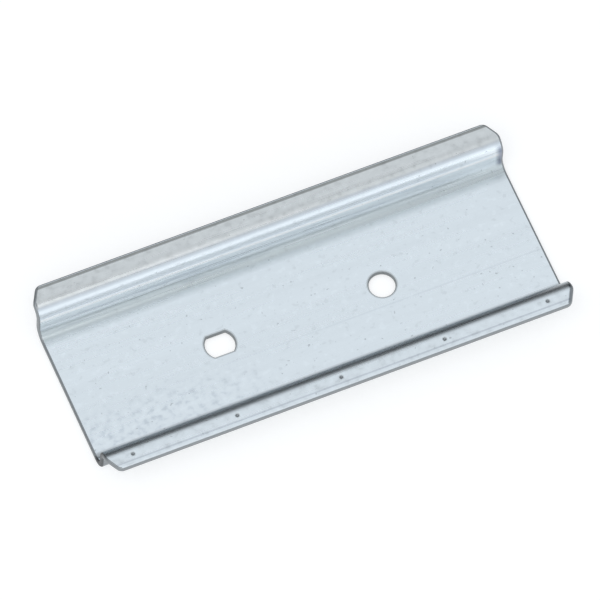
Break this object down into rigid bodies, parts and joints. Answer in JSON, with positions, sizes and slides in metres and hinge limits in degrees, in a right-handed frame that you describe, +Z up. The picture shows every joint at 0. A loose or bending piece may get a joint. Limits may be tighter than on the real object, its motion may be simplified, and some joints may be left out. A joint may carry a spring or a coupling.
{
  "type": "din rail",
  "caption": "Short length of 35 mm top-hat mounting rail in zinc-plated sheet steel, with a round hole and a flat-sided hole in its web.",
  "frame": {"origin": "centre of the underside of the web, which rests on the floor", "axes": "+X along the rail, towards the round hole's end; +Y across it, away from the flange with the punched marks; +Z up, out of the open side"},
  "size_m": [0.0804, 0.035, 0.0075],
  "materials": {
    "zinc_steel": "bright zinc plate, satin, with faint rolling streaks along the strip"
  },
  "bodies": {
    "root": {"rail": "zinc_steel"}
  },
  "joints": []
}
